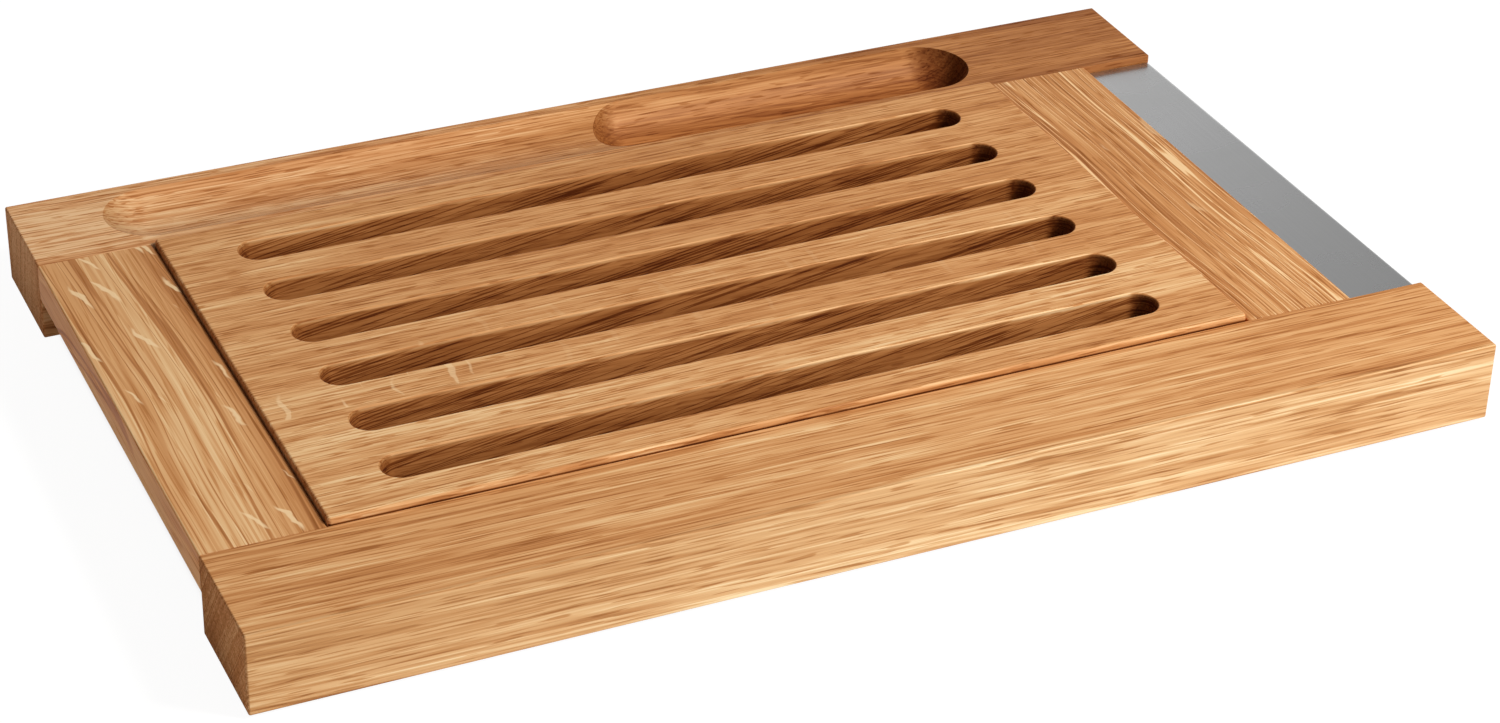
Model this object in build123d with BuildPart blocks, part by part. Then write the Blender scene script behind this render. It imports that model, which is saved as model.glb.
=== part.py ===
from build123d import *
import os

# Bread board in oak: a frame of two rails and two cross rails, a slatted board that lifts out
# of it, and a steel crumb drawer below, which slides out at the right end.
# Millimetres. X runs along the rails, Y to the rear and Z up. The origin is on the table,
# below the middle of the frame.

# Frame
frame_length = 500.0
frame_depth = 320.0
rail_width = 52.0
rail_height = 33.0
cross_rail_width = 46.5
cross_rail_thickness = 17.0
grip_bay_length = 33.0
foot_stand = 1.5
edge_rounding = 0.8
joint_edge_rounding = 0.3
finger_edge_rounding = 2.5

# Dowels in the butt joints
dowel_radius = 3.0
dowel_length = 34.0
dowel_spacing = 20.0
dowel_end_play = 1.0
dowel_play = 0.03
dowel_chamfer = 0.8

# Knife groove in the rear rail
blade_groove_width = 40.0
blade_groove_depth = 5.0
handle_recess_width = 40.4
handle_recess_depth = 16.0
groove_left_margin = 34.0
groove_right_margin = 79.0
handle_recess_length = 176.0
groove_overlap = 10.0

# Slatted board
board_play = 0.5
board_seat_play = 0.3
board_proud = 2.6
board_corner_rounding = 1.5
board_edge_rounding = 1.2
slot_count = 6
slot_width = 16.0
slot_side_margin = 15.25
slot_end_margin = 27.6
slot_edge_rounding = 0.7

# Runner strips on the rails' inner faces
runner_depth = 9.0
runner_height = 13.0
runner_left_inset = 14.0
groove_height = 2.4
groove_depth = 5.5
groove_roof = 2.5
runner_edge = 0.6

# Countersunk screws that hold the runners
runner_screw_count = 5
runner_screw_end_margin = 22.0
runner_screw_length = 20.0
runner_screw_radius = 1.75
runner_screw_head_radius = 3.2
runner_screw_rise = 3.8
countersink_angle = 90.0
screw_play = 0.04
screw_hole_end_play = 1.0
recess_arm = 3.4
recess_slit = 0.8
recess_depth = 1.2

# Crumb drawer in folded steel sheet
sheet = 1.0
bend_radius = 1.0
tray_left_inset = 32.0
tray_wall_play = 0.6
tray_flange_width = 4.4
tray_flange_lift = 0.3
tray_depth = 10.0
tray_corner_radius = 4.0
drawer_stop_play = 0.5
grip_play = 0.7
grip_drop = 3.1
grip_lip = 9.0

# Rubber feet under the rails
foot_radius = 8.0
foot_recess_depth = 3.0
foot_recess_play = 0.3
foot_end_margin = 25.0
foot_edge_rounding = 0.7
foot_screw_radius = 1.75
foot_screw_head_radius = 3.3
foot_screw_head_height = 1.6
foot_screw_cover = 0.8
foot_screw_length = 12.0
foot_screw_hole_play = 0.3

# Levels and places that follow from the sizes above
rail_base = foot_stand
rail_top = rail_base + rail_height
cross_rail_base = rail_top - cross_rail_thickness
rail_face = frame_depth / 2 - rail_width
rail_line = frame_depth / 2 - rail_width / 2
left_end = -frame_length / 2
right_end = frame_length / 2
left_cross_rail_line = left_end + cross_rail_width / 2
right_cross_rail_end = right_end - grip_bay_length
right_cross_rail_line = right_cross_rail_end - cross_rail_width / 2
opening_left = left_end + cross_rail_width
opening_right = right_cross_rail_end - cross_rail_width
sides = {"front": -1, "rear": 1}

dowel_level = cross_rail_base + cross_rail_thickness / 2
dowel_hole_depth = dowel_length / 2 + dowel_end_play

board_base = cross_rail_base + board_seat_play
board_thickness = rail_top + board_proud - board_base
board_length = opening_right - opening_left - 2 * board_play
board_width = 2 * (rail_face - board_play)
board_centre = (opening_left + opening_right) / 2
slot_length = board_length - 2 * slot_end_margin
slot_pitch = (board_width - 2 * slot_side_margin - slot_width) / (slot_count - 1)

runner_top = cross_rail_base
runner_base = runner_top - runner_height
runner_left = left_end + runner_left_inset
runner_length = right_cross_rail_end - runner_left
runner_face = rail_face - runner_depth
groove_top = runner_top - groove_roof
groove_base = groove_top - groove_height
runner_screw_level = runner_base + runner_screw_rise
runner_screw_first = runner_left + runner_screw_end_margin
runner_screw_last = right_cross_rail_end - runner_screw_end_margin
runner_screw_step = (runner_screw_last - runner_screw_first) / (runner_screw_count - 1)

flange_base = groove_base + tray_flange_lift
tray_top = flange_base + sheet
tray_base = tray_top - tray_depth
tray_left = left_end + tray_left_inset
tray_right = right_cross_rail_end + drawer_stop_play
tray_length = tray_right - tray_left
tray_width = 2 * (runner_face - tray_wall_play)
grip_top = rail_top - grip_drop
grip_width = 2 * (rail_face - grip_play)

runner_screw_head_height = runner_screw_head_radius - runner_screw_radius
runner_screw_hole_depth = runner_screw_length - runner_depth + screw_hole_end_play

foot_height = foot_stand + foot_recess_depth
foot_line = frame_length / 2 - foot_end_margin
foot_screw_tip = foot_screw_cover + foot_screw_head_height + foot_screw_length
foot_screw_hole_depth = foot_screw_tip - rail_base + screw_hole_end_play
foot_places = {
    f"{side_name}_{end_name}": (end * foot_line, side * rail_line)
    for side_name, side in sides.items()
    for end_name, end in (("left", -1), ("right", 1))
}

# The groove's two parts: width, depth, left tip and right tip. The shallow part runs on into
# the deep one, which is wider, so that its own round end doesn't show.
groove_left = left_end + groove_left_margin
groove_right = right_end - groove_right_margin
handle_left = groove_right - handle_recess_length
blade_right = handle_left + (handle_recess_width + blade_groove_width) / 2 + groove_overlap
blade_groove = (blade_groove_width, blade_groove_depth, groove_left, blade_right)
handle_recess = (handle_recess_width, handle_recess_depth, handle_left, groove_right)

# A primitive with this alignment reaches down from its place's surface
sunk = (Align.CENTER, Align.CENTER, Align.MAX)


def keep(block, label):
    """Label a finished piece and write it as its own file."""
    block.part.label = label
    export_step(block.part, f"parts/{label}.step")


def dowel_places(cross_rail_line):
    """X of the two dowels in each end of a cross rail."""
    return [cross_rail_line - dowel_spacing / 2, cross_rail_line + dowel_spacing / 2]


def runner_screw_places():
    """X of the screws along a runner."""
    return [runner_screw_first + i * runner_screw_step for i in range(runner_screw_count)]


def facing(side, x, y, z):
    """A plane on one side of the frame that faces the middle, at a distance y from it."""
    return Plane(origin=(x, side * y, z), z_dir=(0, -side, 0))


def below(x, y, z):
    """A plane that faces down."""
    return Plane(origin=(x, y, z), z_dir=(0, 0, -1))


def trough(width, depth, left, right):
    """Cut a round-ended trough along the rear rail's top, inside the rail's own block.

    Its width at the top and its depth give its radius and the level of its centre line.
    """
    radius = (width**2 / 4 + depth**2) / (2 * depth)
    level = rail_top - depth + radius
    first = left + width / 2
    last = right - width / 2
    with Locations(Location(((first + last) / 2, rail_line, level), (0, 90, 0))):
        Cylinder(radius, last - first, mode=Mode.SUBTRACT)
    with Locations((first, rail_line, level), (last, rail_line, level)):
        Sphere(radius, mode=Mode.SUBTRACT)


def inner_top_edge(rail, side):
    """The edge of a rail where the joints with the cross rails show."""
    top_edges = rail.edges().filter_by(Axis.X).group_by(Axis.Z)[-1].sort_by(Axis.Y)
    return top_edges[-1 if side < 0 else 0]


def make_rail(side, troughs):
    """A rail with its troughs and its blind holes for dowels, runner screws and feet.

    Its inner top edge is rounded less, so that the joints with the cross rails look flush.
    """
    dowels = dowel_places(left_cross_rail_line) + dowel_places(right_cross_rail_line)
    with BuildPart() as rail:
        with BuildSketch(Plane.XY.offset(rail_base)):
            with Locations((0, side * rail_line)):
                Rectangle(frame_length, rail_width)
        extrude(amount=rail_height)
        fillet(rail.edges() - [inner_top_edge(rail, side)], radius=edge_rounding)
        fillet(inner_top_edge(rail, side), radius=joint_edge_rounding)
        for width, depth, left, right in troughs:
            trough(width, depth, left, right)
        with Locations(*[facing(side, x, rail_face, dowel_level) for x in dowels]):
            Hole(dowel_radius + dowel_play, depth=dowel_hole_depth)
        with Locations(*[facing(side, x, rail_face, runner_screw_level) for x in runner_screw_places()]):
            Hole(runner_screw_radius + screw_play, depth=runner_screw_hole_depth)
        with Locations(*[below(x, side * rail_line, rail_base) for x in (-foot_line, foot_line)]):
            CounterBoreHole(
                radius=foot_screw_radius + screw_play,
                counter_bore_radius=foot_radius + foot_recess_play,
                counter_bore_depth=foot_recess_depth,
                depth=foot_screw_hole_depth,
            )
    return rail


def make_cross_rail(line, rounded_base):
    """A cross rail between the rails, bored for its dowels.

    rounded_base says how its lower edges are rounded: a radius for the left one and for the
    right one.
    """
    ends = [
        Plane(origin=(x, side * rail_face, dowel_level), z_dir=(0, side, 0))
        for x in dowel_places(line)
        for side in sides.values()
    ]
    with BuildPart() as bar:
        with BuildSketch(Plane.XY.offset(cross_rail_base)):
            with Locations((line, 0)):
                Rectangle(cross_rail_width, 2 * rail_face)
        extrude(amount=cross_rail_thickness)
        low_left, low_right = bar.edges().filter_by(Axis.Y).group_by(Axis.Z)[0].sort_by(Axis.X)
        fillet(low_left, radius=rounded_base[0])
        fillet(low_right, radius=rounded_base[1])
        fillet(bar.edges().filter_by(Axis.Y).group_by(Axis.Z)[-1], radius=edge_rounding)
        with Locations(*ends):
            Hole(dowel_radius + dowel_play, depth=dowel_hole_depth)
    return bar


def make_dowels(line):
    """The dowels of one cross rail, two at each of its ends."""
    middles = [
        Location((x, side * rail_face, dowel_level), (90, 0, 0))
        for x in dowel_places(line)
        for side in sides.values()
    ]
    with BuildPart() as dowels:
        with Locations(*middles):
            Cylinder(dowel_radius, dowel_length)
        chamfer(dowels.edges().filter_by(GeomType.CIRCLE), length=dowel_chamfer)
    return dowels


def make_runner(side):
    """A runner: its groove carries the drawer, and its top carries the slatted board."""
    heads = [facing(side, x, runner_face, runner_screw_level) for x in runner_screw_places()]
    with BuildPart() as runner:
        with BuildSketch(Plane.YZ.offset(runner_left)):
            with Locations((side * (runner_face + runner_depth / 2), runner_base + runner_height / 2)):
                Rectangle(runner_depth, runner_height)
            with Locations((side * (runner_face + groove_depth / 2), groove_base + groove_height / 2)):
                Rectangle(groove_depth, groove_height, mode=Mode.SUBTRACT)
        extrude(amount=runner_length)
        low_edges = runner.edges().filter_by(Axis.X).group_by(Axis.Z)[0]
        chamfer(low_edges.sort_by(Axis.Y)[-1 if side < 0 else 0], length=runner_edge)
        with Locations(*heads):
            CounterSinkHole(
                radius=runner_screw_radius + screw_play,
                counter_sink_radius=runner_screw_head_radius + screw_play,
                depth=2 * runner_depth,
                counter_sink_angle=countersink_angle,
            )
    return runner


def cross_recess():
    """Cut a cross recess into the screw head that faces out of the current place."""
    Box(recess_arm, recess_slit, recess_depth, align=sunk, mode=Mode.SUBTRACT)
    Box(recess_slit, recess_arm, recess_depth, align=sunk, mode=Mode.SUBTRACT)


def make_runner_screws(side):
    """The countersunk screws of one runner."""
    with BuildPart() as screws:
        with Locations(*[facing(side, x, runner_face, runner_screw_level) for x in runner_screw_places()]):
            Cylinder(runner_screw_radius, runner_screw_length, align=sunk)
            Cone(runner_screw_radius, runner_screw_head_radius, runner_screw_head_height, align=sunk)
            cross_recess()
    return screws


def make_slatted_board():
    """The board with its through slots, which stands proud of the frame."""
    with BuildPart() as board:
        with BuildSketch(Plane.XY.offset(board_base)):
            with Locations((board_centre, 0)):
                RectangleRounded(board_length, board_width, board_corner_rounding)
        extrude(amount=board_thickness)
        fillet(board.faces().sort_by(Axis.Z)[-1].edges(), radius=board_edge_rounding)
        fillet(board.faces().sort_by(Axis.Z)[0].edges(), radius=edge_rounding)
        with BuildSketch(Plane.XY.offset(board_base)):
            with Locations((board_centre, 0)):
                with GridLocations(0, slot_pitch, 1, slot_count):
                    SlotOverall(slot_length, slot_width)
        extrude(amount=board_thickness, mode=Mode.SUBTRACT)
        for face in (board.faces().sort_by(Axis.Z)[-1], board.faces().sort_by(Axis.Z)[0]):
            fillet(face.inner_wires().edges(), radius=slot_edge_rounding)
    return board


def make_crumb_tray():
    """The drawer's shallow pan, whose side flanges run in the runners' grooves."""
    middle = (tray_left + tray_right) / 2
    flange_reach = tray_width / 2 + tray_flange_width
    with BuildPart() as tray:
        with BuildSketch(Plane.XY.offset(tray_base)):
            with Locations((middle, 0)):
                RectangleRounded(tray_length, tray_width, tray_corner_radius)
        extrude(amount=tray_depth)
        fillet(tray.faces().sort_by(Axis.Z)[0].edges(), radius=bend_radius + sheet)
        offset(amount=-sheet, openings=tray.faces().sort_by(Axis.Z)[-1])
        with BuildSketch(Plane.XY.offset(flange_base)):
            for side in sides.values():
                with Locations((middle, side * (flange_reach - (tray_flange_width + sheet) / 2))):
                    Rectangle(tray_length - 2 * tray_corner_radius, tray_flange_width + sheet)
        extrude(amount=sheet)
    return tray


def make_drawer_grip():
    """The folded plate on the tray's right end.

    It rises past the right cross rail and folds over into the strip that shows between the
    rails, with a lip at its end to pull.
    """
    with BuildPart() as grip:
        with BuildSketch(Plane.XZ.offset(-grip_width / 2)):
            with BuildLine():
                FilletPolyline(
                    (tray_right, tray_base),
                    (tray_right, grip_top),
                    (right_end, grip_top),
                    (right_end, grip_top - grip_lip),
                    radius=bend_radius + sheet,
                )
                offset(amount=sheet, side=Side.RIGHT)
            make_face()
        extrude(amount=grip_width)
    return grip


def make_foot(x, y):
    """A rubber foot that sits in a recess under a rail."""
    with BuildPart() as foot:
        with BuildSketch(Plane.XY):
            with Locations((x, y)):
                Circle(foot_radius)
        extrude(amount=foot_height)
        fillet(foot.faces().sort_by(Axis.Z)[0].edges(), radius=foot_edge_rounding)
        with Locations(below(x, y, 0)):
            CounterBoreHole(
                radius=foot_screw_radius + foot_screw_hole_play,
                counter_bore_radius=foot_screw_head_radius + foot_screw_hole_play,
                counter_bore_depth=foot_screw_cover + foot_screw_head_height,
                depth=2 * foot_height,
            )
    return foot


def make_foot_screws():
    """The pan-head screws of the four feet."""
    places = [below(x, y, foot_screw_cover) for x, y in foot_places.values()]
    with BuildPart() as screws:
        with Locations(*places):
            Cylinder(foot_screw_head_radius, foot_screw_head_height, align=sunk)
            Cylinder(foot_screw_radius, foot_screw_head_height + foot_screw_length, align=sunk)
            cross_recess()
    return screws


os.makedirs("parts", exist_ok=True)

# Frame
keep(make_rail(sides["front"], []), "front_rail")
keep(make_rail(sides["rear"], [blade_groove, handle_recess]), "rear_rail")
keep(make_cross_rail(left_cross_rail_line, (finger_edge_rounding, edge_rounding)), "left_cross_rail")
keep(make_cross_rail(right_cross_rail_line, (edge_rounding, edge_rounding)), "right_cross_rail")
keep(make_dowels(left_cross_rail_line), "left_dowels")
keep(make_dowels(right_cross_rail_line), "right_dowels")

# Runners and feet, which are fastened to the rails
for side_name, side in sides.items():
    keep(make_runner(side), f"{side_name}_runner")
    keep(make_runner_screws(side), f"{side_name}_runner_screws")
for foot_name, (x, y) in foot_places.items():
    keep(make_foot(x, y), f"{foot_name}_foot")
keep(make_foot_screws(), "foot_screws")

# Pieces that move
keep(make_slatted_board(), "slatted_board")
keep(make_crumb_tray(), "crumb_tray")
keep(make_drawer_grip(), "drawer_grip")
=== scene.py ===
import math

import bpy
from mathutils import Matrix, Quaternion, Vector


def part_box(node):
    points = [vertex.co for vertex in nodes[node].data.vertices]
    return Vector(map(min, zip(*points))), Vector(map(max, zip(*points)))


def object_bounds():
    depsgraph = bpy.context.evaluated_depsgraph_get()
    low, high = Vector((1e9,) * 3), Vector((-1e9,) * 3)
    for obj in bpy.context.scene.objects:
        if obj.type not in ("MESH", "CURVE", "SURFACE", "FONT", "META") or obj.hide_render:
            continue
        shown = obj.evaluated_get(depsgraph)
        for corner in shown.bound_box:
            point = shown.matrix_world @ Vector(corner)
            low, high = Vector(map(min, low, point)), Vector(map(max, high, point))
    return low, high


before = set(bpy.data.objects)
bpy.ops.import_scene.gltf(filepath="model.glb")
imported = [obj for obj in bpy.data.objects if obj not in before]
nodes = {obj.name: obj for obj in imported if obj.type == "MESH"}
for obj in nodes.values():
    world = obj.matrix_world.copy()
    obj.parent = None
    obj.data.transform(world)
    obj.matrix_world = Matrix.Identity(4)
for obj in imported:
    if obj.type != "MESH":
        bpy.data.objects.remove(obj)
cad_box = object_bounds()

# The frame is in metres, and the materials are drawn in millimetres
MM = 1000.0
X, Y, Z = 0, 1, 2


def rgb(red, green, blue):
    """The linear colour of a display colour given in 0 to 255."""
    linear = []
    for value in (red, green, blue):
        v = value / 255
        linear.append(v / 12.92 if v <= 0.04045 else ((v + 0.055) / 1.055) ** 2.4)
    return (*linear, 1.0)


WHITE = rgb(255, 255, 255)

# Oiled oak from its palest fibres to its pores. A darker spot is redder too.
OAK = [
    (0.0, rgb(249, 218, 172)),
    (0.08, rgb(235, 194, 143)),
    (0.16, rgb(219, 165, 111)),
    (0.3, rgb(195, 134, 80)),
    (0.5, rgb(163, 103, 55)),
    (0.75, rgb(130, 72, 32)),
    (1.0, rgb(90, 40, 9)),
]
OAK_PALEST = 0.05
OAK_RAY = rgb(248, 216, 170)

# Tints that multiply the oak's colour
OAK_END = rgb(250, 236, 230)
# Painted light: the paler, yellower look of the front face under its stronger light
OAK_PAINTED_FACE_LIGHT = (0.98, 1.13, 1.29, 1.0)
OAK_ROSE = (1.0, 0.95, 0.97, 1.0)
# Painted shade: a warmer tint for the cut walls in the top
OAK_HOLLOW_SHADE = (1.0, 0.92, 0.82, 1.0)
OAK_SHADE = (0.56, 0.46, 0.33, 1.0)
# Painted shade for the sides that face -X, darker and redder
OAK_SIDE_SHADE = (1.08, 0.78, 0.5, 1.0)

# How far apart two pieces of wood, or two staves of one board, are cut, in mm along the grain and
# in mm through the rings. The seed of a piece counts its steps.
PIECE_STEP = 997.0
STAVE_STEP = 413.0
STAVE_DEPTH_STEP = 61.0

# The slatted board is glued up from staves, which are counted from 0 at the front. Widths in mm.
STAVE_WIDTH = 43.0
FIRST_STAVE_WIDTH = 24.5
FLECKED_STAVE = 2.0

# How high the cells are that may hold a fleck, in mm
FLECK_HEIGHT = 40.0

TRAY_STEEL = rgb(186, 186, 186)
GRIP_STEEL = rgb(189, 189, 189)
SCREW_STEEL = rgb(205, 204, 198)
RUBBER = rgb(34, 34, 35)
RUBBER_DUST = rgb(52, 52, 52)

# Brush strokes on the steel, in strokes per mm
BRUSH_ALONG = 0.008
BRUSH_ACROSS = 1.2

# The floor's half side is in metres. To the camera it is its shadow colour plus a glow, which
# starts a little inside the object's outline, in mm.
FLOOR_HALF_SIDE = 6.0
FLOOR_COLOUR = (0.88, 0.88, 0.88, 1.0)
FLOOR_SHADOW_COLOUR = (0.1, 0.1, 0.1, 1.0)
FLOOR_GLOW = 0.95
GLOW_START = 15.0
GLOW_FULL = 5.0

# The room's light is weak and warm from the rear, and strong and white from the front
ROOM_FRONT = (0.4, -0.9, -0.1)
ROOM_WEAKEST = 0.12
ROOM_STRONGEST = 0.7
ROOM_WARMTH = (1.0, 0.88, 0.72, 1.0)

# What the steel mirrors: a grey room, whose rear wall is bright beside a darker strip
ROOM_REAR = (0.2, 0.98, 0.0)
MIRRORED_GREY = 0.58
MIRRORED_WALL = 1.25
MIRRORED_STRIP = 0.35

# The lamp hangs high at the right of the front. Lengths are in metres, the power in watts.
KEY_PLACE = (0.95, -1.0, 1.42)
KEY_SIDE = 0.35
KEY_POWER = 37.0
KEY_COLOUR = (1.0, 0.98, 0.95)

# The camera stands at the left of the front and looks down at the slatted board, with a slight
# roll. Its place is in metres, its lens and its sensor in mm.
CAMERA_PLACE = (-0.5068, -1.0995, 0.7317)
CAMERA_VIEW = (0.36236, 0.77341, -0.52012)
CAMERA_ROLL = math.radians(1.516)
CAMERA_LENS = 85.2
CAMERA_SENSOR = 36.0


class Shader:
    """Adds nodes to one tree. An input is a number, a tuple or the output of another node."""

    def __init__(self, tree):
        self.tree = tree
        tree.nodes.clear()

    def add(self, kind, inputs, output=0, **settings):
        node = self.tree.nodes.new(kind)
        for key, value in settings.items():
            setattr(node, key, value)
        for key, value in inputs.items():
            if isinstance(value, bpy.types.NodeSocket):
                self.tree.links.new(value, node.inputs[key])
            else:
                node.inputs[key].default_value = value
        return node.outputs[output]

    def outputs(self, kind):
        return self.tree.nodes.new(kind).outputs

    def math(self, operation, *values):
        return self.add("ShaderNodeMath", dict(enumerate(values)), operation=operation)

    def vector(self, operation, *values, output=0):
        return self.add("ShaderNodeVectorMath", dict(enumerate(values)), output, operation=operation)

    def dot(self, first, second):
        return self.vector("DOT_PRODUCT", first, second, output=1)

    def combine(self, x, y, z):
        return self.add("ShaderNodeCombineXYZ", {0: x, 1: y, 2: z})

    def split(self, vector):
        node = self.tree.nodes.new("ShaderNodeSeparateXYZ")
        self.tree.links.new(vector, node.inputs[0])
        return list(node.outputs)

    def total(self, *values):
        result = values[0]
        for value in values[1:]:
            result = self.math("ADD", result, value)
        return result

    def product(self, *values):
        result = values[0]
        for value in values[1:]:
            result = self.math("MULTIPLY", result, value)
        return result

    def magnitude(self, value):
        return self.math("ABSOLUTE", value)

    def less(self, value, other):
        return self.math("SUBTRACT", value, other)

    def rest(self, share):
        """What a share leaves of 1."""
        return self.math("SUBTRACT", 1.0, share)

    def noise(self, place, scale, detail=2.0, roughness=0.5):
        """A noise whose scale is given along each of the three axes, in features per millimetre."""
        stretched = self.vector("MULTIPLY", place, scale)
        inputs = {"Vector": stretched, "Scale": 1.0, "Detail": detail, "Roughness": roughness}
        return self.add("ShaderNodeTexNoise", inputs)

    def scatter(self, place):
        """The outputs of a cell pattern with one spot in each cell of size 1."""
        node = self.tree.nodes.new("ShaderNodeTexVoronoi")
        node.inputs["Scale"].default_value = 1.0
        self.tree.links.new(place, node.inputs["Vector"])
        return node.outputs

    def fit(self, value, low, high, to_low=0.0, to_high=1.0):
        """A smooth step from to_low to to_high while value goes from low to high."""
        inputs = {0: value, 1: low, 2: high, 3: to_low, 4: to_high}
        return self.add("ShaderNodeMapRange", inputs, interpolation_type="SMOOTHSTEP")

    def curve(self, value, points):
        """A number that runs smoothly through the points, which are pairs of a value and a result."""
        result = points[0][1]
        for (low, before), (high, after) in zip(points, points[1:]):
            result = self.math("ADD", result, self.fit(value, low, high, 0.0, after - before))
        return result

    def ridge(self, value, width):
        """A line where a noise passes its middle."""
        off = self.magnitude(self.less(value, 0.5))
        return self.fit(off, 0.3 * width, width, 1.0, 0.0)

    def ramp(self, value, stops):
        """The colour between the stops, which are pairs of a value and a colour."""
        node = self.tree.nodes.new("ShaderNodeValToRGB")
        self.tree.links.new(value, node.inputs[0])
        stretch = node.color_ramp
        while len(stretch.elements) < len(stops):
            stretch.elements.new(0.5)
        for element, (position, colour) in zip(stretch.elements, stops):
            element.position = position
            element.color = colour
        return node.outputs[0]

    def mix(self, factor, first, second, blend_type="MIX"):
        inputs = {0: factor, 6: first, 7: second}
        return self.add("ShaderNodeMix", inputs, 2, data_type="RGBA", blend_type=blend_type)

    def bump(self, height, strength, distance):
        return self.add("ShaderNodeBump", {"Strength": strength, "Distance": distance, "Height": height})

    def show(self, kind, shader):
        """Connect a shader to an output node of that kind."""
        self.tree.links.new(shader, self.tree.nodes.new(kind).inputs["Surface"])


class Material(Shader):
    """A new material, with places on the object in mm and the way that the surface faces."""

    def __init__(self, name):
        self.made = bpy.data.materials.new(name)
        self.made.use_nodes = True
        super().__init__(self.made.node_tree)
        coordinates = self.outputs("ShaderNodeTexCoord")
        self.place = self.vector("SCALE", coordinates["Object"])
        self.place.node.inputs["Scale"].default_value = MM
        self.facing = self.split(coordinates["Normal"])

    def coat(self, **inputs):
        """Finish the material with a principled shader."""
        named = {key.replace("_", " "): value for key, value in inputs.items()}
        self.show("ShaderNodeOutputMaterial", self.add("ShaderNodeBsdfPrincipled", named))
        return self.made


class Oak(Material):
    """Oiled oak as solid wood: growth rings, fibres, pores and rays, the same on every side, with painted
    shade and painted highlights that follow the way a surface faces.

    Its darkness, from 0 to 1, is a sum that the methods add to: grow first, then what is
    special about the piece, and finish last. Places are in mm from the piece's lowest corner,
    sizes are in mm and frequencies in features per mm.
    """

    def __init__(self, name, node, along, seed, rings, wave=5.0, coarse=1.0, run=1.0, staves=None):
        """along is the grain's axis. rings is the way from ring to ring: along the grain, across
        it and up. wave is how far the rings wander, coarse how wide they are and run how long the
        fibres are. staves are the width of a glued stave and the width of the first one.
        """
        super().__init__(name)
        self.low, self.high = ([MM * value for value in corner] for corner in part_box(node))
        self.along = along
        self.rings = rings
        self.coarse = coarse
        self.run = run
        self.at = self.split(self.place)
        self.sideways = Y if along == X else X
        self.across = self.at[self.sideways]
        self.grain = self.math("ADD", self.at[along], PIECE_STEP * seed)
        if staves:
            self.stave = self.count_staves(*staves)
            self.grain = self.math("MULTIPLY_ADD", self.stave, STAVE_STEP, self.grain)
        self.place = self.combine(self.grain, self.across, self.at[Z])
        self.wobble = self.bend_rings(wave)
        self.depth = self.total(self.dot(self.place, rings), self.wobble)
        if staves:
            self.depth = self.math("MULTIPLY_ADD", self.stave, STAVE_DEPTH_STEP, self.depth)
        self.darkness = 0.0
        self.hollow = 0.0
        self.tints = []
        self.flecks = None

    def count_staves(self, width, first):
        """The number of the stave at a place."""
        counted = self.math("ADD", self.across, width - first - self.low[self.sideways])
        return self.math("FLOOR", self.math("DIVIDE", counted, width))

    def bend_rings(self, wave):
        """How far the rings wander, widely and with a small wobble."""
        wander = self.noise(self.place, (0.005, 0.008, 0.008), detail=1.0)
        wobble = self.noise(self.place, (0.025, 0.06, 0.06), detail=1.0)
        return self.math("MULTIPLY_ADD", wobble, 0.9, self.product(wander, wave))

    def darken(self, *amounts):
        self.darkness = self.total(self.darkness, *amounts)

    def tint(self, where, colour):
        self.tints.append((where, colour))

    def tint_shaded_side(self):
        """Painted shade: the side that faces -X is tinted darker and redder."""
        self.tint(self.fit(self.facing[X], -0.8, -0.4, 1.0, 0.0), OAK_SIDE_SHADE)

    def up_to(self, axis, start, end, beyond=0.0):
        """1 before the start, and less from the end on."""
        return self.fit(self.at[axis], self.low[axis] + start, self.low[axis] + end, 1.0, beyond)

    def run_through(self, axis, points):
        """A number that follows the points, which are pairs of a place and a number."""
        return self.curve(self.at[axis], [(self.low[axis] + place, number) for place, number in points])

    def vary_along(self, *points):
        self.darken(self.run_through(self.along, points))

    def vary_across(self, *points):
        self.darken(self.run_through(self.sideways, points))

    def banded(self, frequency, length, shift, detail=2.0):
        """A noise in layers that follow the rings."""
        scale = (length / self.run, frequency / self.coarse, 1.0)
        return self.noise(self.combine(self.grain, self.depth, shift), scale, detail, roughness=0.7)

    def grow(self, tone=0.12, lines=1.0, banding=1.0):
        """The wood between the lines, its rings, its porous early wood, its fibres and its pores."""
        bands = self.banded(frequency=0.45, length=0.008, shift=11.0, detail=1.0)
        broad = self.banded(frequency=0.07, length=0.003, shift=3.0, detail=1.0)
        course = self.banded(frequency=1.1, length=0.025, shift=23.0, detail=0.3)
        patch = self.banded(frequency=0.3, length=0.015, shift=31.0, detail=1.0)
        early = self.product(self.fit(course, 0.52, 0.61), self.fit(patch, 0.36, 0.62, 0.25, 1.0))
        hair = self.noise(self.place, (0.028 / self.run, 1.0, 1.0), detail=0.4)
        aside = self.vector("ADD", self.place, (0.0, 71.0, 0.0))
        silk = self.noise(aside, (0.03 / self.run, 1.2, 1.2), detail=0.0)
        spots = self.noise(self.place, (0.09 / self.run, 1.3, 1.3), detail=0.0)
        pores = self.fit(self.math("MULTIPLY_ADD", early, 0.08, spots), 0.63, 0.71)
        self.darken(
            self.product(self.less(bands, 0.5), 0.34 * banding),
            self.product(self.less(broad, 0.5), 0.3),
            self.math("MULTIPLY_ADD", early, 0.12 * lines, tone),
            self.fit(hair, 0.51, 0.64, 0.0, 0.095 * lines),
            self.fit(silk, 0.48, 0.34, 0.0, -0.055 * lines),
            self.product(pores, 0.16 * lines),
        )
        rings_height = self.math("MULTIPLY_ADD", hair, -0.5, self.product(early, -0.3))
        self.height = self.math("MULTIPLY_ADD", pores, -0.8, rings_height)
        self.pores = pores

    def vein(self, amount):
        """Dark lines that follow the rings."""
        line = self.banded(frequency=0.42, length=0.006, shift=51.0, detail=1.0)
        self.darken(self.product(self.ridge(line, 0.03), amount))

    def line_pale(self, amount):
        """Pale lines that follow the rings."""
        line = self.banded(frequency=0.42, length=0.006, shift=41.0, detail=0.0)
        self.darken(self.product(self.ridge(line, 0.026), -amount))

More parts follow.
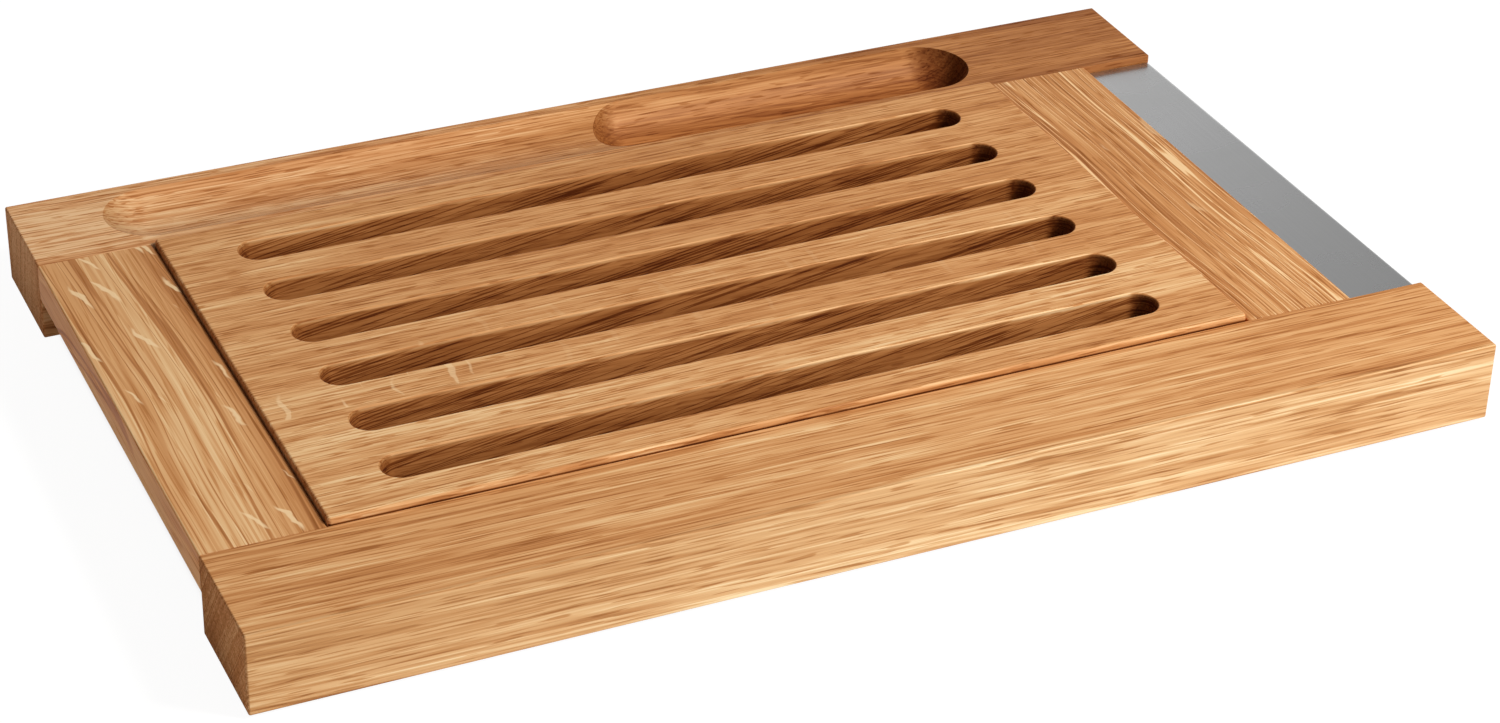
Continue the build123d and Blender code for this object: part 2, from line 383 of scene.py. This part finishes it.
    def vary_staves(self):
        """Each stave has its own tone."""
        drawn = self.noise(self.combine(self.stave, 5.7, 1.0), (1.37, 1.0, 1.0), detail=0.0)
        self.darken(self.fit(drawn, 0.3, 0.7, -0.02, 0.06))

    def inside(self, axis, margins):
        """1 between the margins at the piece's two ends on an axis, and 0 in them."""
        start = self.low[axis] + margins[0]
        end = self.high[axis] - margins[1]
        half = (end - start) / 2
        off = self.magnitude(self.less(self.at[axis], (start + end) / 2))
        return self.fit(off, half, half + 1.0, 1.0, 0.0)

    def shade_hollows(self, margins_x, margins_y, reach, tone, streaks, rim):
        """Painted shade, with some of the cutter's burn, darkens and warms the cut walls in the top, between
        the margins.

        reach is how deep the painted shade goes on getting stronger, streaks how dark the cut fibres are and
        rim how much painted shade darkens the walls that face +X.
        """
        top = self.high[Z]
        cut = self.product(self.inside(X, margins_x), self.inside(Y, margins_y))
        self.hollow = self.product(cut, self.fit(self.facing[Z], -0.7, -0.4))
        wall = self.product(self.hollow, self.fit(self.at[Z], top - reach, top - 0.6, 1.0, 0.0))
        level = self.math("MULTIPLY_ADD", self.grain, self.rings[0] / self.rings[2], self.at[Z])
        streak = self.noise(self.combine(self.grain, level, self.across), (0.02, 1.5, 0.05), detail=0.0)
        deep = self.math("ADD", self.fit(self.at[Z], top - 10.0, top, 0.09, 0.0), tone)
        # Painted shade: darker deeper down and on walls that face -X and +Y; the streaks are cut fibres
        self.darken(
            self.product(wall, deep),
            self.product(wall, self.fit(streak, 0.57, 0.61), streaks),
            self.product(self.hollow, self.fit(self.facing[X], -0.5, -0.04, 0.34, 0.0)),
            self.product(self.hollow, self.fit(self.facing[Y], 0.2, 0.8), 0.22),
        )
        # Painted shade: a warmer tint on the walls, and a darker one on the walls that face +X
        self.tint(wall, OAK_HOLLOW_SHADE)
        self.tint(self.product(self.hollow, self.fit(self.facing[X], 0.02, 0.5, 0.0, rim)), OAK_SHADE)

    def shade_sides(self, level):
        """Painted shade: a dark line on the long sides just below a level, where the piece stands in the
        frame and the gap is in shade, and slightly darker sides.
        """
        line = self.product(
            self.fit(self.at[Z], level - 1.0, level - 0.5),
            self.fit(self.at[Z], level, level + 0.5, 0.7, 0.0),
            self.fit(self.magnitude(self.facing[Y]), 0.3, 0.7),
        )
        side = self.fit(self.facing[Z], 0.2, 0.8, self.math("ADD", line, 0.02), 0.0)
        self.darken(self.product(side, self.rest(self.hollow)))

    def fleck(self, amount, length, width, slant, share, bow=8.0, where=1.0):
        """Rays cut lengthwise show as pale flecks on the top. share is how many cells hold one."""
        bend = self.noise(self.place, (0.08, 0.08, 0.08))
        pushed = self.math("MULTIPLY_ADD", bend, bow, self.grain)
        bowed = self.math("MULTIPLY_ADD", bend, bow, self.across)
        leant = self.math("MULTIPLY_ADD", self.grain, slant, bowed)
        cell = (length, width, FLECK_HEIGHT)
        spots = self.scatter(self.vector("DIVIDE", self.combine(pushed, leant, self.at[Z]), cell))
        chance = self.split(spots["Color"])[0]
        reach = self.fit(chance, 1.0 - share, 1.0, 0.1, 0.37)
        self.flecks = self.product(
            self.fit(self.less(spots["Distance"], reach), -0.12, 0.0, 1.0, 0.0),
            self.fit(chance, 1.0 - share, 1.1 - share),
            self.fit(self.magnitude(self.facing[Z]), 0.6, 0.9),
            where,
            amount,
        )

    def paint_edge_highlight(self):
        """Painted highlight on the rounded edges toward the front, pale at the right, and painted shade on
        them at the left.
        """
        edge = self.product(
            self.fit(self.facing[Z], 0.35, 0.6),
            self.fit(self.facing[Z], 0.9, 0.98, 1.0, 0.0),
            self.fit(self.facing[Y], -0.5, -0.15, 1.0, 0.0),
        )
        self.darken(self.product(edge, self.fit(self.at[X], -200.0, 100.0, 0.07, -0.08)))

    def show_ends(self, ends):
        """End grain drinks more oil, and pale rays cross its rings."""
        cut = self.product(ends, self.rest(self.hollow))
        crossing = self.dot(self.place, (0.0, -self.rings[2], self.rings[1]))
        swayed = self.math("MULTIPLY_ADD", self.wobble, 0.6, crossing)
        rays = self.noise(self.combine(self.grain, swayed, self.depth), (0.02, 0.9, 0.06), detail=0.0)
        self.darken(self.product(cut, 0.05), self.product(cut, self.ridge(rays, 0.05), -0.12))
        self.tint(cut, OAK_END)

    def finish(self):
        ends = self.fit(self.magnitude(self.facing[self.along]), 0.1, 0.8)
        self.paint_edge_highlight()
        self.show_ends(ends)
        colour = self.ramp(self.math("MAXIMUM", self.darkness, OAK_PALEST), OAK)
        for where, tint in self.tints:
            colour = self.mix(where, colour, self.mix(1.0, colour, tint, "MULTIPLY"))
        if self.flecks:
            colour = self.mix(self.flecks, colour, OAK_RAY)
        rough = self.math("MAXIMUM", self.fit(self.pores, 0.0, 1.0, 0.52, 0.72), self.product(ends, 0.9))
        normal = self.bump(self.height, strength=0.07, distance=0.0003)
        return self.coat(Base_Color=colour, Roughness=rough, Specular_IOR_Level=0.12, Normal=normal)


def front_rail_oak():
    """The front face gets a paler, yellower tint than the top as painted light, and grows lighter toward its
    right as painted lamp falloff.
    """
    wood = Oak("oak_front_rail", "front_rail", X, seed=1.0, rings=(0.02, 0.8, 0.6), run=1.7)
    wood.grow(tone=0.115)
    # Painted light: the front face is tinted paler and yellower, and is darker at its left and lighter at its
    # right
    face = wood.up_to(Y, 0.5, 2.5)
    wood.tint(face, OAK_PAINTED_FACE_LIGHT)
    wood.darken(wood.product(face, wood.run_through(X, ((10, 0.02), (110, 0.0), (330, -0.02)))))
    wood.vary_along((10, 0.095), (110, 0.095), (210, 0.07), (330, 0.055), (450, 0.08))
    wood.vary_across((32, 0.0), (40, 0.02))
    return wood.finish()


def rear_rail_oak():
    """The rail is rosier at its left, and darkens toward the deep end of its knife groove."""
    wood = Oak("oak_rear_rail", "rear_rail", X, seed=2.3, rings=(0.015, 0.95, 0.3))
    wood.grow(lines=1.1)
    wood.line_pale(0.03)
    wood.tint(wood.up_to(X, 150, 310), OAK_ROSE)
    wood.vary_along((10, -0.07), (110, 0.0), (210, 0.05), (330, 0.22), (430, 0.32))
    # Darker near both long edges; by the slatted board this is partly darker wood and partly the painted
    # shadow of the proud board
    wood.vary_across((2, 0.08), (8, 0.0), (42, 0.0), (48, 0.065))
    wood.shade_hollows(
        margins_x=(31, 77), margins_y=(4, 4), reach=17.0, tone=0.1, streaks=0.14, rim=1.0,
    )
    return wood.finish()


def left_cross_rail_oak():
    """A rail with wide wavy rings and large flecks."""
    wood = Oak(
        "oak_left_cross_rail", "left_cross_rail", Y, seed=3.7, rings=(0.02, 0.97, 0.25),
        wave=26.0, coarse=2.4, run=3.0,
    )
    wood.grow(lines=0.6, banding=0.55)
    wood.line_pale(0.06)
    wood.vein(0.22)
    wood.vary_along((-2, -0.01), (28, 0.0), (78, -0.03), (133, 0.0), (188, 0.01))
    # Darker toward the slatted board: partly browner wood, partly the painted shadow of the proud board
    wood.vary_across((28, 0.0), (37, 0.06), (46, 0.16))
    wood.fleck(0.85, length=34.0, width=4.2, slant=0.3, share=0.8)
    wood.tint_shaded_side()
    return wood.finish()


def right_cross_rail_oak():
    """A rail with long pale lines."""
    wood = Oak(
        "oak_right_cross_rail", "right_cross_rail", Y, seed=5.2, rings=(0.02, 0.9, 0.4),
        wave=24.0, coarse=1.2, run=1.6,
    )
    wood.grow(tone=0.22, banding=0.6)
    wood.line_pale(0.34)
    wood.vary_along((-32, 0.01), (28, 0.03), (78, 0.09), (138, 0.09), (208, 0.07))
    wood.vary_across((1.5, 0.1), (10.5, 0.0))
    wood.fleck(0.3, length=34.0, width=6.0, slant=0.1, share=0.35)
    wood.tint_shaded_side()
    return wood.finish()


def slatted_board_oak():
    """Staves glued side by side, with short curved flecks at the left end of one of them."""
    wood = Oak(
        "oak_slatted_board", "slatted_board", X, seed=6.9, rings=(-0.04, 0.95, 0.25),
        wave=3.0, staves=(STAVE_WIDTH, FIRST_STAVE_WIDTH),
    )
    wood.grow(tone=0.16, banding=0.75)
    wood.vary_staves()
    wood.vary_along((13, -0.05), (243, 0.0))
    wood.vary_across(
        (7.5, 0.06), (40.5, -0.02), (74.5, 0.015), (107.5, -0.005), (140.5, 0.05), (174.5, 0.035),
        (207.5, 0.11),
    )
    wood.shade_hollows(
        margins_x=(26.5, 26.5), margins_y=(14, 14), reach=2.5, tone=0.17, streaks=0.36, rim=0.8,
    )
    frame_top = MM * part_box("front_rail")[1][Z]
    wood.shade_sides(frame_top)
    near_left = wood.up_to(X, 78, 98, beyond=0.15)
    one_stave = wood.math("COMPARE", wood.stave, FLECKED_STAVE, 0.5)
    where = wood.product(near_left, one_stave)
    wood.fleck(0.5, length=4.4, width=42.0, slant=0.0, share=0.95, where=where)
    return wood.finish()


def runner_oak():
    wood = Oak("oak_runners", "front_runner", X, seed=8.1, rings=(0.01, 0.7, 0.7))
    wood.grow(tone=0.2)
    return wood.finish()


def dowel_beech():
    """Beech is paler and smoother than the oak."""
    wood = Oak("beech_dowels", "left_dowels", Y, seed=9.4, rings=(0.0, 0.7, 0.7))
    wood.grow(tone=0.04, lines=0.3)
    wood.tint_shaded_side()
    return wood.finish()


def dimmed(colour, share):
    return (*(share * value for value in colour[:3]), 1.0)


def steel(name, colour, roughness, along):
    """Sheet steel, brushed along one axis, with faint clouds."""
    metal = Material(name)
    scale = [BRUSH_ACROSS] * 3
    scale[along] = BRUSH_ALONG
    brushing = metal.noise(metal.place, tuple(scale), roughness=0.7)
    cloud = metal.noise(metal.place, (0.02, 0.03, 0.03), detail=3.0)
    tone = metal.mix(metal.fit(brushing, 0.3, 0.7), colour, dimmed(colour, 0.97))
    tone = metal.mix(metal.fit(cloud, 0.35, 0.7, 0.0, 0.25), tone, dimmed(colour, 0.8))
    rough = metal.fit(cloud, 0.3, 0.7, roughness - 0.01, roughness + 0.02)
    return metal.coat(Base_Color=tone, Metallic=1.0, Roughness=rough)


def rubber(name):
    """Black rubber with a fine grain."""
    skin = Material(name)
    grain = skin.noise(skin.place, (1.4, 1.4, 1.4), detail=3.0)
    tone = skin.mix(skin.fit(grain, 0.4, 0.65), RUBBER, RUBBER_DUST)
    rough = skin.fit(grain, 0.3, 0.7, 0.7, 0.85)
    return skin.coat(Base_Color=tone, Roughness=rough, Normal=skin.bump(grain, strength=0.2, distance=0.0002))


def dress(made, *names):
    """Give the named CAD nodes a material."""
    for name in names:
        mesh = nodes[name].data
        mesh.materials.clear()
        mesh.materials.append(made)


def floor_white():
    """A white floor to the camera, which keeps a faint shadow; plain pale for every other ray.

    It doesn't glow below the object, so that no light shows through the gaps; there it keeps only its dark
    shadow colour, as painted shade under the object.
    """
    cover = Material("floor_white")
    x, y, _ = cover.split(cover.vector("ABSOLUTE", cover.place))
    half_length, half_depth = (MM * cad_box[1][axis] for axis in (X, Y))
    beside = cover.math(
        "MAXIMUM",
        cover.fit(x, half_length - GLOW_START, half_length - GLOW_FULL),
        cover.fit(y, half_depth - GLOW_START, half_depth - GLOW_FULL),
    )
    glow = cover.add("ShaderNodeEmission", {"Color": WHITE, "Strength": cover.product(beside, FLOOR_GLOW)})
    shadowed = cover.add("ShaderNodeBsdfDiffuse", {"Color": FLOOR_SHADOW_COLOUR})
    shown = cover.add("ShaderNodeAddShader", {0: shadowed, 1: glow})
    plain = cover.add("ShaderNodeBsdfDiffuse", {"Color": FLOOR_COLOUR})
    ray = cover.outputs("ShaderNodeLightPath")
    seen = cover.math("MAXIMUM", ray["Is Camera Ray"], ray["Is Glossy Ray"])
    seen = cover.math("MAXIMUM", seen, ray["Is Transmission Ray"])
    cover.show("ShaderNodeOutputMaterial", cover.add("ShaderNodeMixShader", {0: seen, 1: plain, 2: shown}))
    return cover.made


def lay_floor():
    half = FLOOR_HALF_SIDE
    corners = [(-half, -half, 0.0), (half, -half, 0.0), (half, half, 0.0), (-half, half, 0.0)]
    mesh = bpy.data.meshes.new("floor")
    mesh.from_pydata(corners, [], [(0, 1, 2, 3)])
    mesh.materials.append(floor_white())
    floor = bpy.data.objects.new("floor", mesh)
    bpy.context.scene.collection.objects.link(floor)


def light_room():
    """The room is white to the camera, and to the other rays a light or what they mirror."""
    world = bpy.data.worlds.new("studio")
    bpy.context.scene.world = world
    world.use_nodes = True
    room = Shader(world.node_tree)
    direction = room.outputs("ShaderNodeTexCoord")["Generated"]
    to_rear = room.dot(direction, ROOM_REAR)
    to_front = room.dot(direction, ROOM_FRONT)
    mirrored = room.total(
        room.fit(to_rear, 0.80, 0.88, MIRRORED_GREY, MIRRORED_WALL),
        room.fit(to_rear, 0.62, 0.78, 0.0, -MIRRORED_STRIP),
        room.fit(to_rear, 0.80, 0.83, 0.0, MIRRORED_STRIP),
    )
    lit = room.fit(to_front, -0.1, 0.9, ROOM_WEAKEST, ROOM_STRONGEST)
    ray = room.outputs("ShaderNodeLightPath")
    level = room.mix(ray["Is Glossy Ray"], lit, mirrored)
    strength = room.math("MAXIMUM", level, ray["Is Camera Ray"])
    seen = room.math("MAXIMUM", ray["Is Glossy Ray"], ray["Is Camera Ray"])
    warmth = room.mix(room.fit(to_front, -0.1, 0.8), ROOM_WARMTH, WHITE)
    colour = room.mix(seen, warmth, WHITE)
    background = room.add("ShaderNodeBackground", {"Color": colour, "Strength": strength})
    room.show("ShaderNodeOutputWorld", background)


def hang_key_light():
    """One soft square lamp, which shines at the middle of the object's base."""
    data = bpy.data.lights.new("key", "AREA")
    data.shape = "RECTANGLE"
    data.size = KEY_SIDE
    data.size_y = KEY_SIDE
    data.energy = KEY_POWER
    data.color = KEY_COLOUR
    light = bpy.data.objects.new("key", data)
    bpy.context.scene.collection.objects.link(light)
    light.location = KEY_PLACE
    light.rotation_euler = (-Vector(KEY_PLACE)).to_track_quat("-Z", "Y").to_euler()


def place_camera():
    data = bpy.data.cameras.new("camera")
    data.sensor_width = CAMERA_SENSOR
    data.lens = CAMERA_LENS
    camera = bpy.data.objects.new("camera", data)
    bpy.context.scene.collection.objects.link(camera)
    camera.location = CAMERA_PLACE
    level = Vector(CAMERA_VIEW).to_track_quat("-Z", "Y")
    camera.rotation_euler = (level @ Quaternion((0.0, 0.0, 1.0), CAMERA_ROLL)).to_euler()
    bpy.context.scene.camera = camera


dress(front_rail_oak(), "front_rail")
dress(rear_rail_oak(), "rear_rail")
dress(left_cross_rail_oak(), "left_cross_rail")
dress(right_cross_rail_oak(), "right_cross_rail")
dress(slatted_board_oak(), "slatted_board")
dress(runner_oak(), "front_runner", "rear_runner")
dress(dowel_beech(), "left_dowels", "right_dowels")
dress(steel("tray_steel", TRAY_STEEL, roughness=0.34, along=X), "crumb_tray")
dress(steel("grip_steel", GRIP_STEEL, roughness=0.27, along=Y), "drawer_grip")
dress(
    steel("screw_steel", SCREW_STEEL, roughness=0.25, along=X),
    "front_runner_screws", "rear_runner_screws", "foot_screws",
)
dress(
    rubber("foot_rubber"),
    "front_left_foot", "front_right_foot", "rear_left_foot", "rear_right_foot",
)
lay_floor()
light_room()
hang_key_light()
place_camera()
bpy.context.scene.view_settings.view_transform = "Standard"
